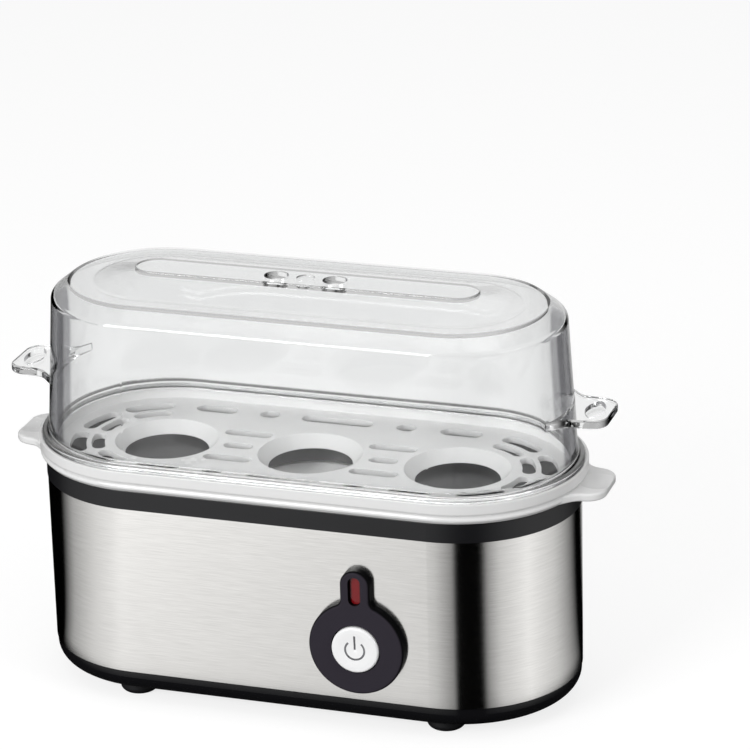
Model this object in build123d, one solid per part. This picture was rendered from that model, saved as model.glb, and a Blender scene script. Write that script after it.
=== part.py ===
from build123d import *
import os
from math import cos, radians, sin

# Electric egg cooker for three eggs: a base with its heating plate, a lift-off egg rack and a clear lid.
# Millimetres. The long axis lies along X, the front faces -Y, Z is up and the feet stand on Z = 0.
# Every casing has one plan, a bar with round ends. Its section is drawn as distance from the long axis
# against height, and is carried round that plan.

# Body plan
body_length = 180.0
body_width = 78.0

# Fits
fixed_gap = 0.1
moving_gap = 0.35
cut_overrun = 1.0

# Feet
foot_height = 4.3
foot_radius = 6.4
foot_edge_radius = 2.2
foot_recess = 1.0
foot_stem_radius = 2.4
foot_bulb_radius = 3.2
foot_bulb_height = 2.5
foot_margin = 0.4
foot_past_core = 2.0

# Bottom cover
cover_height = 7.3
cover_wall = 2.0
cover_inset = 0.3
cover_edge_radius = 5.0
cover_spigot_height = 6.0

# Steel sleeve
steel_height = 57.8
steel_thickness = 0.6

# Screw posts and the four long screws
post_radius = 4.2
post_past_core = 15.0
post_side_share = 0.46
boss_height = 11.0
screw_shank_radius = 1.45
screw_head_radius = 2.9
screw_head_height = 2.2
screw_slot_width = 0.8
screw_slot_depth = 0.9
screw_sink = 4.0
screw_grip = 12.0

# Upper housing: the black band, the stepped rim, the deck and its spigot inside the sleeve
band_height = 6.9
band_proud = 0.2
band_edge_radius = 0.8
rim_width = 2.8
step_width = 1.4
step_drop = 1.5
deck_drop = 3.5
deck_thickness = 2.2
housing_wall = 2.0
housing_spigot = 9.0

# Water well and its collar
well_share = 0.6026
well_bevel = 4.0
well_depth = 7.0
collar_wall = 2.2
collar_flange = 6.0

# Heating plate and its seal
seal_thickness = 2.0
seal_inset = 1.3
plate_flange_inset = 1.0
plate_flange_thickness = 1.6
plate_rim_rise = 0.8
plate_rim_width = 1.6
plate_rim_radius = 0.5
plate_slope = 3.4
plate_slope_radius = 2.0
plate_dish_depth = 3.6
plate_thickness = 3.0

# Clamp ring under the plate
clamp_thickness = 1.2
clamp_lap = 1.0
clamp_boss_radius = 3.2
clamp_boss_clear = 1.3
clamp_ear_radius = 4.0
clamp_screw_angle = 25.0
clamp_shank_radius = 1.2
clamp_head_radius = 2.5
clamp_head_height = 1.8
clamp_grip = 6.0

# Heating element, a bent tube with two cold pins
element_tube_radius = 3.2
element_margin = 1.35
element_flat = 0.6
element_gap_angle = 60.0
element_leg = 8.0
element_pin_radius = 1.2
element_pin = 6.0

# Thermostat
thermostat_clear = 1.0
thermostat_plate_lap = 1.0
thermostat_plate_thickness = 1.2
thermostat_body_height = 9.0
thermostat_ear_radius = 2.6
thermostat_blade_width = 5.0
thermostat_blade_thickness = 0.8
thermostat_blade_length = 8.0
thermostat_blade_share = 0.57
thermostat_shank_radius = 1.1
thermostat_head_radius = 2.1
thermostat_head_height = 1.5
thermostat_head_clear = 0.7
thermostat_grip = 1.8

# Thermal fuse and its clip
fuse_radius = 2.0
fuse_length = 11.0
fuse_lead_radius = 0.5
fuse_lead = 6.0
clip_width = 5.0
clip_thickness = 0.6
clip_foot = 1.5

# Control panel, shaped like a keyhole
panel_disc_radius = 15.8
panel_neck_width = 9.8
panel_head_room = 2.7
panel_neck_fillet = 2.5
panel_depth = 3.4
panel_edge_radius = 1.0
panel_front_wall = 2.0
panel_spigot_inset = 3.0
panel_spigot_depth = 2.0
panel_across_share = 0.545
panel_up_share = 0.3326

# Indicator window
lens_width = 4.2
lens_height = 9.8
lens_below_top = 6.9
lens_lip = 0.65
lens_lip_thickness = 0.9
lens_sink = 1.5

# Control board and what stands on it
board_thickness = 1.6
board_stand_off = 7.0
board_margin = 2.0
board_post_radius = 1.7
board_shank_radius = 0.9
board_head_radius = 1.7
board_head_height = 1.2
board_grip = 2.6
switch_width = 8.4
switch_corner_radius = 0.5
switch_below_face = 2.6
switch_flange_radius = 5.2
switch_flange_thickness = 1.0
lamp_radius = 2.0
lamp_length = 9.0
lamp_lead_radius = 0.4
lamp_lead_spread = 1.2

# Push button
button_radius = 7.85
button_proud = 1.0
button_travel = 2.0
button_wall = 1.4
button_edge_radius = 0.8
button_boss_radius = 3.0
button_dish_radius = 5.9
button_dish_depth = 0.3
symbol_depth = 0.25
symbol_line = 0.65
symbol_ring_radius = 3.2
symbol_gap_angle = 84.0
symbol_bar_low = 0.5
symbol_bar_high = 4.7
plunger_radius = 1.5
plunger_in_cap = 2.0
plunger_in_switch = 2.5
spring_radius = 4.1
spring_wire_radius = 0.3
spring_turns = 4

# Terminal block
block_ways = 3
block_pitch = 8.0
block_depth = 15.0
block_height = 12.0
block_base_height = 4.0
block_way_width = 6.6
block_way_depth = 12.0
block_hole_radius = 1.5
block_stand_off = 4.0
block_boss_radius = 3.0
block_shank_radius = 1.1
block_head_radius = 2.1
block_head_height = 1.5
block_grip = 3.0
block_across_share = -0.6
block_back_share = 0.3

# Cord gland in the rear wall
gland_bore_radius = 3.4
gland_wall = 1.6
gland_flange_radius = 7.5
gland_flange_thickness = 2.4
gland_edge_radius = 1.0
gland_length = 13.0
gland_nut_radius = 7.0
gland_nut_thickness = 3.0
gland_across_share = -0.8
gland_up_share = 0.25

# Wiring
wire_radius = 1.1
wire_bend = 4.0
wire_insert = 3.0
wire_drop = 8.0
wire_clear_share = 0.35

# Egg rack
rack_floor_rise = 2.5
rack_floor_thickness = 2.0
rack_rim_height = 6.1
rack_rim_proud = 2.2
rack_foot_proud = 1.0
rack_groove_depth = 0.7
rack_groove_height = 2.6
rack_bead_radius = 0.9
rack_lip_height = 0.8
rack_wall = 4.2
rack_draft = 0.6
rack_skirt_wall = 1.5
rack_skirt_gap = 0.5
rack_edge_radius = 0.6
rack_tab_reach = 10.8
rack_tab_thickness = 2.7
rack_tab_root_width = 34.0
rack_tab_neck_width = 24.0
rack_tab_tip_width = 21.0
rack_tab_corner_radius = 6.5
rack_tab_neck_radius = 6.0
rack_tab_edge_radius = 0.8
rack_dish_radius = 26.0
rack_dish_depth = 0.8

# Egg seats and steam slots of the rack
egg_pitch_share = 0.98
seat_share = 0.346
seat_hole_share = 0.276
seat_depth = 4.0
seat_wall = 1.6
slot_width = 4.6
ladder_pitch_share = 0.274
ladder_long_share = 0.33
ladder_short_share = 0.2
inner_ring_share = 0.564
outer_ring_share = 0.733
inner_ring_width = 4.4
outer_ring_width = 5.4
ring_hole_angle = 23.0
ring_hole_step = 40.0
ring_holes = 4
side_slot_middle_share = 0.384
side_slot_short_share = 0.027
side_slot_long_share = 0.18
side_slot_gap_share = 0.157

# Lid
lid_wall = 2.0
lid_flange_thickness = 2.2
lid_flange_proud = 1.0
lid_flange_radius = 0.8
lid_foot_inset = 1.2
lid_foot_radius = 1.6
lid_shoulder_inset = 4.2
lid_shoulder_height = 48.4
lid_shoulder_radius = 2.5
lid_chamfer_in = 6.0
lid_chamfer_up = 4.6
lid_chamfer_radius = 1.6
lid_ring_width = 7.8
lid_valley_radius = 3.0
lid_crown_rise = 3.4
lid_pill_half_width = 7.0
lid_pill_rise = 0.6
lid_pill_edge_radius = 0.5
vent_radius = 4.0
vent_spread = 9.9
dimple_radius = 3.0
dimple_depth = 0.5
lid_ear_rise = 21.2
lid_ear_reach = 12.7
lid_ear_thickness = 2.8
lid_ear_root_width = 34.0
lid_ear_neck_width = 22.5
lid_ear_tip_width = 21.0
lid_ear_corner_radius = 5.5
lid_ear_neck_radius = 6.0
lid_ear_edge_radius = 0.7
lid_pocket_length = 15.0
lid_pocket_width = 6.4
lid_pocket_inset = 2.6
lid_pocket_depth = 1.6

# Plan and levels that follow from these
body_radius = body_width / 2
core_half = (body_length - body_width) / 2
cover_bottom = foot_height
cover_floor = cover_bottom + cover_wall
sleeve_bottom = cover_bottom + cover_height
sleeve_top = sleeve_bottom + steel_height
rim_top = sleeve_top + band_height
deck_top = rim_top - deck_drop
deck_bottom = deck_top - deck_thickness
cover_radius = body_radius - cover_inset
spigot_radius = body_radius - steel_thickness - fixed_gap
band_radius = body_radius + band_proud
rim_inner_radius = band_radius - rim_width
step_radius = rim_inner_radius - step_width
boss_top = cover_floor + boss_height


def rounded_line(path, width):
    """Flat line of even width along a path, with round ends."""
    return trace(path, width) + [Pos(*(path @ end)) * Circle(width / 2) for end in (0, 1)]


def outline(*corners):
    """Closed face through the corners, each rounded by its third number where it has one."""
    points = [corner[:2] for corner in corners]
    radii = [corner[2] if len(corner) > 2 else 0 for corner in corners]
    return make_face(FilletPolyline(*points, radius=radii, close=True))


def round_the_plan(section):
    """Carries a section, drawn as distance from the long axis against height, round the plan."""
    side = extrude(Plane.YZ * section, core_half, both=True)
    turn = revolve(Plane.XZ * section, Axis.Z, 180)
    end = Pos(core_half, 0, 0) * Rot(0, 0, -90) * turn
    return side + mirror(side, Plane.XZ) + end + mirror(end, Plane.YZ)


def spun(section):
    """Turns a section, drawn as radius against height, about Z."""
    return revolve(Plane.XZ * section, Axis.Z)


def column(radius, low, high):
    """Upright cylinder on Z between two heights."""
    return Pos(0, 0, low) * Cylinder(radius, high - low, align=(Align.CENTER, Align.CENTER, Align.MIN))


def four_corners(x, y):
    """Places mirrored about both planes of symmetry."""
    return [Pos(side * x, end * y, 0) for side in (-1, 1) for end in (-1, 1)]


def screw(shank_radius, head_radius, head_height, shank_length):
    """Screw that points up, with its head below Z = 0 and a slot across the head."""
    head = column(head_radius, -head_height, 0)
    slot = Pos(0, 0, -head_height) * Box(head_radius * 2, screw_slot_width, screw_slot_depth * 2)
    return head - slot + column(shank_radius, 0, shank_length)


# Places that several pieces share
foot_x = core_half + foot_past_core
foot_y = cover_radius - cover_edge_radius - foot_radius - foot_margin
post_x = core_half + post_past_core
post_y = body_radius * post_side_share
screw_seat = cover_bottom + screw_sink
well_radius = body_radius * well_share
well_bottom = deck_top - well_depth
collar_flange_radius = well_radius + collar_flange
plate_flange_top = well_bottom - seal_thickness
plate_flange_bottom = plate_flange_top - plate_flange_thickness
plate_flange_radius = collar_flange_radius - plate_flange_inset
plate_rim_outer = well_radius - moving_gap
plate_rim_top = well_bottom + plate_rim_rise
plate_floor = plate_rim_top - plate_dish_depth
plate_bottom = plate_floor - plate_thickness
plate_body_radius = plate_rim_outer - plate_rim_width
element_radius = plate_body_radius - element_tube_radius - element_margin
element_middle = plate_bottom + element_flat - element_tube_radius
element_leg_bottom = element_middle - element_leg
thermostat_ear_reach = element_radius - element_tube_radius - thermostat_clear - thermostat_ear_radius
thermostat_body_radius = thermostat_ear_reach - thermostat_head_radius - thermostat_head_clear
thermostat_plate_radius = thermostat_body_radius + thermostat_plate_lap
thermostat_blade_spread = thermostat_body_radius * thermostat_blade_share
thermostat_low = plate_bottom - thermostat_plate_thickness - thermostat_body_height
clamp_bottom = plate_flange_bottom - clamp_thickness
clamp_circle = collar_flange_radius + clamp_boss_clear + clamp_boss_radius
clamp_x = clamp_circle * cos(radians(clamp_screw_angle))
clamp_y = clamp_circle * sin(radians(clamp_screw_angle))


def make_bottom_cover():
    """Pan with a rounded lower edge, a spigot that clears the panel's, screw bosses and foot recesses."""
    inner_radius = spigot_radius - cover_wall
    spigot_top = sleeve_bottom + cover_spigot_height
    pan = round_the_plan(outline(
        (0, cover_bottom),
        (cover_radius, cover_bottom, cover_edge_radius),
        (cover_radius, sleeve_bottom),
        (spigot_radius, sleeve_bottom),
        (spigot_radius, spigot_top),
        (inner_radius, spigot_top),
        (inner_radius, cover_floor, cover_edge_radius - cover_wall),
        (0, cover_floor),
    ))
    boss = column(post_radius, cover_bottom + cover_wall / 2, boss_top)
    bore = column(screw_shank_radius + fixed_gap * 2, cover_bottom, boss_top + cut_overrun)
    sink = column(screw_head_radius + moving_gap, cover_bottom - cut_overrun, screw_seat)
    recess = column(foot_radius + fixed_gap, cover_bottom - cut_overrun, cover_bottom + foot_recess)
    stem_hole = column(foot_stem_radius + fixed_gap, cover_bottom, cover_floor + cut_overrun)
    block_top = cover_floor + block_stand_off
    block_boss = column(block_boss_radius, cover_bottom + cover_wall / 2, block_top)
    block_pilot = column(block_shank_radius + fixed_gap / 2, cover_floor, block_top + cut_overrun)
    for place in four_corners(post_x, post_y):
        pan += place * boss
    for place in block_places():
        pan = pan + place * block_boss - place * block_pilot
    for place in four_corners(post_x, post_y):
        pan -= place * (bore + sink)
    for place in four_corners(foot_x, foot_y):
        pan -= place * (recess + stem_hole)
    notch_depth = steel_thickness + panel_spigot_depth + fixed_gap
    return pan - layer(Circle(panel_spigot_radius + fixed_gap), -notch_depth, 0)


def make_foot():
    """Rubber foot with a stem and a bulb that snaps through the cover."""
    top = cover_bottom + foot_recess
    bulb_top = cover_floor + foot_bulb_height
    return spun(outline(
        (0, 0),
        (foot_radius, 0, foot_edge_radius),
        (foot_radius, top),
        (foot_stem_radius, top),
        (foot_stem_radius, cover_floor),
        (foot_bulb_radius, cover_floor),
        (foot_stem_radius, bulb_top),
        (0, bulb_top),
    ))


def make_base_screws():
    """Four screws from below, through the cover's bosses into the housing's posts."""
    one = Pos(0, 0, screw_seat) * screw(
        screw_shank_radius, screw_head_radius, screw_head_height, boss_top + screw_grip - screw_seat)
    return [place * one for place in four_corners(post_x, post_y)]


def front_plane():
    """Plane on the front of the sleeve, centred on the button, with its normal outward."""
    x = core_half * panel_across_share
    z = sleeve_bottom + steel_height * panel_up_share
    return Plane(origin=(x, -body_radius, z), x_dir=(1, 0, 0), z_dir=(0, -1, 0))


def rear_plane():
    """Plane on the rear of the sleeve, centred on the cord gland, with its normal outward."""
    x = core_half * gland_across_share
    z = sleeve_bottom + steel_height * gland_up_share
    return Plane(origin=(x, body_radius, z), x_dir=(-1, 0, 0), z_dir=(0, 1, 0))


# Depths on the front plane, positive outward
board_face = -(steel_thickness + panel_spigot_depth + board_stand_off)
panel_neck_reach = steel_height * (1 - panel_up_share) - housing_spigot - panel_head_room
panel_spigot_radius = panel_disc_radius - panel_spigot_inset
lens_up = panel_neck_reach - lens_below_top
gland_radius = gland_bore_radius + gland_wall
lamp_back = -steel_thickness - lamp_radius


def layer(sketch, low, high, plane=None):
    """Prism of a sketch on the front plane, or another plane, between two depths."""
    return (plane or front_plane()) * extrude(Pos(0, 0, low) * sketch, high - low)


def make_steel_sleeve():
    """Wrapped steel skin with openings for the panel's spigot, the lamp and the gland."""
    inner_radius = body_radius - steel_thickness
    sleeve = round_the_plan(outline(
        (inner_radius, sleeve_bottom),
        (body_radius, sleeve_bottom),
        (body_radius, sleeve_top),
        (inner_radius, sleeve_top),
    ))
    lamp_way = SlotOverall(lens_height + lens_lip * 2, (lamp_radius + moving_gap) * 2, rotation=90)
    opening = Circle(panel_spigot_radius + fixed_gap) + Pos(0, lens_up) * lamp_way
    back = -steel_thickness - cut_overrun
    sleeve -= layer(opening, back, cut_overrun)
    sleeve -= layer(Circle(gland_radius + fixed_gap), back, cut_overrun, rear_plane())
    return sleeve


def make_upper_housing():
    """Band, stepped rim, deck, well collar, screw posts and clamp bosses in one moulding."""
    spigot_bottom = sleeve_top - housing_spigot
    inner_radius = spigot_radius - housing_wall
    housing = round_the_plan(outline(
        (0, deck_bottom),
        (inner_radius, deck_bottom),
        (inner_radius, spigot_bottom),
        (spigot_radius, spigot_bottom),
        (spigot_radius, sleeve_top),
        (band_radius, sleeve_top),
        (band_radius, rim_top, band_edge_radius),
        (rim_inner_radius, rim_top, band_edge_radius / 2),
        (rim_inner_radius, rim_top - step_drop),
        (step_radius, rim_top - step_drop, band_edge_radius / 2),
        (step_radius, deck_top),
        (0, deck_top),
    ))
    collar = spun(outline(
        (well_radius, well_bottom),
        (collar_flange_radius, well_bottom),
        (collar_flange_radius, well_bottom + collar_wall),
        (well_radius + collar_wall, well_bottom + collar_wall),
        (well_radius + well_bevel + collar_wall, deck_top),
        (well_radius + well_bevel, deck_top),
    ))
    well = spun(outline(
        (0, well_bottom - cut_overrun),
        (well_radius, well_bottom - cut_overrun),
        (well_radius, well_bottom),
        (well_radius + well_bevel, deck_top),
        (well_radius + well_bevel, deck_top + cut_overrun),
        (0, deck_top + cut_overrun),
    ))
    housing = housing + collar - well
    post = column(post_radius, boss_top, deck_bottom + deck_thickness / 2)
    pilot_top = boss_top + screw_grip + cut_overrun
    pilot = column(screw_shank_radius + fixed_gap / 2, boss_top - cut_overrun, pilot_top)
    for place in four_corners(post_x, post_y):
        housing = housing + place * post - place * pilot
    boss = column(clamp_boss_radius, plate_flange_bottom, deck_bottom + deck_thickness / 2)
    hole_top = plate_flange_bottom + clamp_grip
    hole = column(clamp_shank_radius + fixed_gap / 2, plate_flange_bottom - cut_overrun, hole_top)
    for place in four_corners(clamp_x, clamp_y):
        housing = housing + place * boss - place * hole
    return housing


def make_plate_seal():
    """Silicone ring squeezed between the plate's flange and the collar."""
    inner = plate_rim_outer + fixed_gap
    outer = plate_flange_radius - seal_inset + plate_flange_inset
    return spun(outline(
        (inner, plate_flange_top),
        (outer, plate_flange_top),
        (outer, well_bottom),
        (inner, well_bottom),
    ))


def make_heating_plate():
    """Dished plate with a raised bright rim, a flange for the clamp and two blind screw holes."""
    rim_inner = plate_rim_outer - plate_rim_width
    plate = spun(outline(
        (0, plate_bottom),
        (plate_body_radius, plate_bottom),
        (plate_body_radius, plate_flange_bottom),
        (plate_flange_radius, plate_flange_bottom),
        (plate_flange_radius, plate_flange_top),
        (plate_rim_outer, plate_flange_top),
        (plate_rim_outer, plate_rim_top, plate_rim_radius),
        (rim_inner, plate_rim_top, plate_rim_radius),
        (rim_inner - plate_slope, plate_floor, plate_slope_radius),
        (0, plate_floor),
    ))
    hole_top = plate_bottom + thermostat_grip
    hole = column(thermostat_shank_radius + fixed_gap / 2, plate_bottom - cut_overrun, hole_top)
    for side in (-1, 1):
        plate -= Pos(side * thermostat_ear_reach, 0, 0) * hole
    return plate


def make_clamp_ring():
    """Pressed ring with four ears that pulls the plate up against the collar."""
    inner = plate_body_radius + moving_gap
    outer = collar_flange_radius + clamp_lap
    blank = Circle(outer)
    arm = Rectangle(clamp_circle, clamp_ear_radius * 2, align=(Align.MIN, Align.CENTER))
    for angle in (clamp_screw_angle, -clamp_screw_angle):
        for turn in (angle, angle + 180):
            blank += Rot(0, 0, turn) * (arm + Pos(clamp_circle, 0) * Circle(clamp_ear_radius))
    blank -= Circle(inner)
    for place in four_corners(clamp_x, clamp_y):
        blank -= place * Circle(clamp_shank_radius + fixed_gap * 2)
    return extrude(Pos(0, 0, clamp_bottom) * blank, clamp_thickness)


def make_clamp_screws():
    """Four screws that hold the clamp ring to the housing's bosses."""
    length = clamp_thickness + clamp_grip - fixed_gap
    one = screw(clamp_shank_radius, clamp_head_radius, clamp_head_height, length)
    return [place * Pos(0, 0, clamp_bottom) * one for place in four_corners(clamp_x, clamp_y)]


def pin_place(side):
    """X and Y of one of the element's two cold pins; side 1 is the left one."""
    angle = radians(90 + side * element_gap_angle / 2)
    return element_radius * cos(angle), element_radius * sin(angle)


def make_heating_element():
    """Bent tube, flattened where it is brazed to the plate, with two legs and cold pins."""
    section = Pos(element_radius, element_middle) * Circle(element_tube_radius)
    ring = revolve(Plane.XZ * section, Axis.Z, 360 - element_gap_angle)
    element = Rot(0, 0, 90 + element_gap_angle / 2) * ring
    for side in (-1, 1):
        place = Pos(*pin_place(side), 0)
        element += place * Pos(0, 0, element_middle) * Sphere(element_tube_radius)
        element += place * column(element_tube_radius, element_leg_bottom, element_middle)
        element += place * column(element_pin_radius, element_leg_bottom - element_pin, element_leg_bottom)
    top = Pos(0, 0, plate_bottom) * Box(
        body_width, body_width, element_tube_radius * 2, align=(Align.CENTER, Align.CENTER, Align.MIN))
    return element - top


def make_thermostat():
    """Snap-disc thermostat with an eared plate against the heating plate and two blades."""
    plate_low = plate_bottom - thermostat_plate_thickness
    blank = Circle(thermostat_plate_radius)
    blank += SlotCenterToCenter(thermostat_ear_reach * 2, thermostat_ear_radius * 2)
    for side in (-1, 1):
        blank -= Pos(side * thermostat_ear_reach, 0) * Circle(thermostat_shank_radius + fixed_gap)
    body = extrude(Pos(0, 0, plate_low) * blank, thermostat_plate_thickness)
    body += column(thermostat_body_radius, thermostat_low, plate_low)
    blade = Box(
        thermostat_blade_thickness, thermostat_blade_width, thermostat_blade_length,
        align=(Align.CENTER, Align.CENTER, Align.MAX))
    for side in (-1, 1):
        body += Pos(side * thermostat_blade_spread, 0, thermostat_low) * blade
    return body


def make_thermostat_screws():
    """Two short screws through the thermostat's ears into the plate."""
    length = thermostat_plate_thickness + thermostat_grip - fixed_gap
    one = screw(thermostat_shank_radius, thermostat_head_radius, thermostat_head_height, length)
    low = plate_bottom - thermostat_plate_thickness
    return [Pos(side * thermostat_ear_reach, 0, low) * one for side in (-1, 1)]


# The fuse lies under the front of the clamp ring
fuse_y = -(plate_body_radius + collar_flange_radius + clamp_lap) / 2
fuse_z = clamp_bottom - fuse_radius - fixed_gap


def make_thermal_fuse():
    """Fuse cartridge along X with a lead at each end."""
    fuse = Cylinder(fuse_radius, fuse_length) + Cylinder(fuse_lead_radius, fuse_length + fuse_lead * 2)
    return Pos(0, fuse_y, fuse_z) * Rot(0, 90, 0) * fuse


def make_fuse_clip():
    """Sheet strap round the fuse, welded to the clamp ring by its two feet."""
    reach = fuse_radius + fixed_gap
    outer = reach + clip_thickness
    rise = clamp_bottom - fuse_z
    strap = Circle(outer) + Pos(0, rise / 2) * Rectangle(outer * 2, rise)
    strap -= Circle(reach) + Pos(0, rise / 2) * Rectangle(reach * 2, rise)
    strap -= Pos(0, rise) * Rectangle(outer * 2, outer, align=(Align.CENTER, Align.MIN))
    foot = Rectangle(clip_foot, clip_thickness, align=(Align.CENTER, Align.MAX))
    for side in (-1, 1):
        strap += Pos(side * (outer + clip_foot / 2), rise) * foot
    return Pos(0, fuse_y, fuse_z) * extrude(Plane.YZ * strap, clip_width / 2, both=True)


def keyhole():
    """Outline of the control panel: a disc with a round-topped neck above it."""
    neck_half = panel_neck_width / 2
    stem = panel_neck_reach - neck_half
    shape = Circle(panel_disc_radius) + Pos(0, stem / 2) * Rectangle(panel_neck_width, stem)
    shape += Pos(0, stem) * Circle(neck_half)
    joints = [v for v in shape.vertices() if v.Y > 0 and abs(v.X) < panel_disc_radius / 2]
    return fillet(ShapeList(joints).sort_by(Axis.Y)[:2], panel_neck_fillet)


def window_pill(margin):
    """Outline of the indicator window, wider all round by a margin."""
    return Pos(0, lens_up) * SlotOverall(lens_height + margin * 2, lens_width + margin * 2, rotation=90)


def board_places():
    """Places of the two board posts on the front plane."""
    reach = (panel_spigot_radius + button_radius + moving_gap) / 2
    return [Pos(side * reach, 0) for side in (-1, 1)]


def make_control_panel():
    """Keyhole bezel with the button's hole, the window, a spigot through the steel and two posts."""
    panel = layer(keyhole(), 0, panel_depth)
    front = panel.faces().sort_by(Axis.Y)[0]
    panel = fillet(front.outer_wire().edges(), panel_edge_radius)
    spigot_back = -steel_thickness - panel_spigot_depth
    panel += layer(Circle(panel_spigot_radius), spigot_back, 0)
    for place in board_places():
        panel += layer(place * Circle(board_post_radius), board_face, spigot_back)
        pilot = place * Circle(board_shank_radius + fixed_gap / 2)
        panel -= layer(pilot, board_face, board_face + board_grip)
    panel -= layer(Circle(button_radius + moving_gap), spigot_back - cut_overrun, panel_depth + cut_overrun)
    panel -= layer(window_pill(0), 0, panel_depth + cut_overrun)
    chamber = window_pill(lens_lip + fixed_gap)
    return panel - layer(chamber, spigot_back - cut_overrun, panel_depth - panel_front_wall)


def make_indicator_lens():
    """Red window with a lip behind the panel's front wall."""
    lip_front = panel_depth - panel_front_wall
    pane = window_pill(-fixed_gap)
    return (layer(pane, lip_front, panel_depth - lens_sink)
            + layer(window_pill(lens_lip), lip_front - lens_lip_thickness, lip_front))


def make_control_board():
    """Board behind the panel, screwed to its two posts."""
    low = -panel_spigot_radius
    high = lens_up + lamp_length / 2 + board_margin
    blank = Pos(0, (low + high) / 2) * RectangleRounded(panel_spigot_radius * 2, high - low, board_margin)
    for place in board_places():
        blank -= place * Circle(board_shank_radius + fixed_gap)
    return layer(blank, board_face - board_thickness, board_face)


def make_board_screws():
    """Two screws from behind the board into the panel's posts."""
    length = board_thickness + board_grip - fixed_gap
    one = screw(board_shank_radius, board_head_radius, board_head_height, length)
    back = board_face - board_thickness
    return [front_plane() * place * Pos(0, 0, back) * one for place in board_places()]


def make_switch_body():
    """Push switch on the board, with a round flange that seats the spring and a bore for the plunger."""
    bore_low = -switch_below_face - plunger_in_switch - button_travel - moving_gap
    flange_back = -switch_below_face - switch_flange_thickness
    body = layer(RectangleRounded(switch_width, switch_width, switch_corner_radius), board_face, flange_back)
    body += layer(Circle(switch_flange_radius), flange_back, -switch_below_face)
    return body - layer(Circle(plunger_radius + moving_gap), bore_low, cut_overrun - switch_below_face)


def make_neon_lamp():
    """Glow lamp behind the window, standing on two leads from the board."""
    half = lamp_length / 2 - lamp_radius
    glass = Rot(90, 0, 0) * Cylinder(lamp_radius, half * 2)
    for side in (-1, 1):
        glass += Pos(0, side * half, 0) * Sphere(lamp_radius)
    lamp = front_plane() * Pos(0, lens_up, lamp_back) * glass
    for side in (-1, 1):
        lead = Pos(0, lens_up + side * lamp_lead_spread) * Circle(lamp_lead_radius)
        lamp += layer(lead, board_face, lamp_back)
    return lamp


# Depths of the push button on the front plane
button_face = panel_depth + button_proud
button_ceiling = button_face - button_wall
button_back = button_travel + moving_gap - switch_below_face


def power_symbol():
    """Open ring and upright bar of the on-off sign."""
    half = radians(180 - symbol_gap_angle / 2)
    ends = [(symbol_ring_radius * sin(turn), symbol_ring_radius * cos(turn)) for turn in (-half, half)]
    ring = ThreePointArc(ends[0], (0, -symbol_ring_radius), ends[1])
    bar_length = symbol_bar_high - symbol_bar_low + symbol_line
    bar = SlotOverall(bar_length, symbol_line, rotation=90)
    return rounded_line(ring, symbol_line), Pos(0, (symbol_bar_low + symbol_bar_high) / 2) * bar


def make_button_cap():
    """Hollow cap with a rounded front edge and a boss that holds the plunger."""
    cap = layer(Circle(button_radius), button_back, button_face)
    rim = cap.faces().sort_by(Axis.Y)[0]
    cap = fillet(rim.edges(), button_edge_radius)
    cap -= layer(Circle(button_radius - button_wall), button_back - cut_overrun, button_ceiling)
    boss = Circle(button_boss_radius) - Circle(plunger_radius + fixed_gap / 2)
    cap += layer(boss, button_ceiling - plunger_in_cap, button_ceiling)
    dish = (button_dish_radius ** 2 + button_dish_depth ** 2) / (button_dish_depth * 2)
    cap -= front_plane() * Pos(0, 0, button_face - button_dish_depth + dish) * Sphere(dish)
    groove = button_face - button_dish_depth - symbol_depth
    for line in power_symbol():
        cap -= layer(line, groove, button_face)
    return cap


def make_switch_plunger():
    """Stem between the cap and the switch."""
    return layer(Circle(plunger_radius), -switch_below_face - plunger_in_switch, button_ceiling)


def make_return_spring():
    """Coil that pushes the cap out from the switch's flange."""
    low = spring_wire_radius - switch_below_face
    height = button_ceiling + switch_below_face - spring_wire_radius * 2
    path = Helix(height / spring_turns, height, spring_radius)
    start = Plane(origin=path @ 0, z_dir=path % 0)
    coil = sweep(start * Circle(spring_wire_radius), path, is_frenet=True)
    return front_plane() * Pos(0, 0, low) * coil


def block_plane():
    """Place of the terminal block's middle on top of its two bosses."""
    return Pos(core_half * block_across_share, body_radius * block_back_share, cover_floor + block_stand_off)


def block_places():
    """Places of the two block screws, between the ways."""
    middle = block_plane().position
    return [Pos(middle.X + side * block_pitch / 2, middle.Y, 0) for side in (-1, 1)]


def make_terminal_block():
    """Block of screw terminals, each way a raised box with a wire hole and a screw hole."""
    length = block_pitch * block_ways
    bottom = (Align.CENTER, Align.CENTER, Align.MIN)
    block = Box(length, block_depth, block_base_height, align=bottom)
    wire_hole = Rot(90, 0, 0) * Cylinder(block_hole_radius, block_depth + cut_overrun * 2)
    wire_hole = Pos(0, 0, block_height / 2) * wire_hole
    screw_hole = column(block_hole_radius, block_height / 2, block_height + cut_overrun)
    for way in range(block_ways):
        place = Pos((way - (block_ways - 1) / 2) * block_pitch, 0, 0)
        block += place * Box(block_way_width, block_way_depth, block_height, align=bottom)
        block -= place * (wire_hole + screw_hole)
    head_way = column(block_head_radius + fixed_gap, block_base_height, block_height + cut_overrun)
    shank_way = column(block_shank_radius + fixed_gap, -cut_overrun, block_height)
    for side in (-1, 1):
        block -= Pos(side * block_pitch / 2, 0, 0) * (head_way + shank_way)
    return block_plane() * block


def make_block_screws():
    """Two screws that point down through the block into the cover's bosses."""
    one = screw(block_shank_radius, block_head_radius, block_head_height, block_base_height + block_grip)
    top = cover_floor + block_stand_off + block_base_height
    return [place * Pos(0, 0, top) * Rot(180, 0, 0) * one for place in block_places()]


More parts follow.
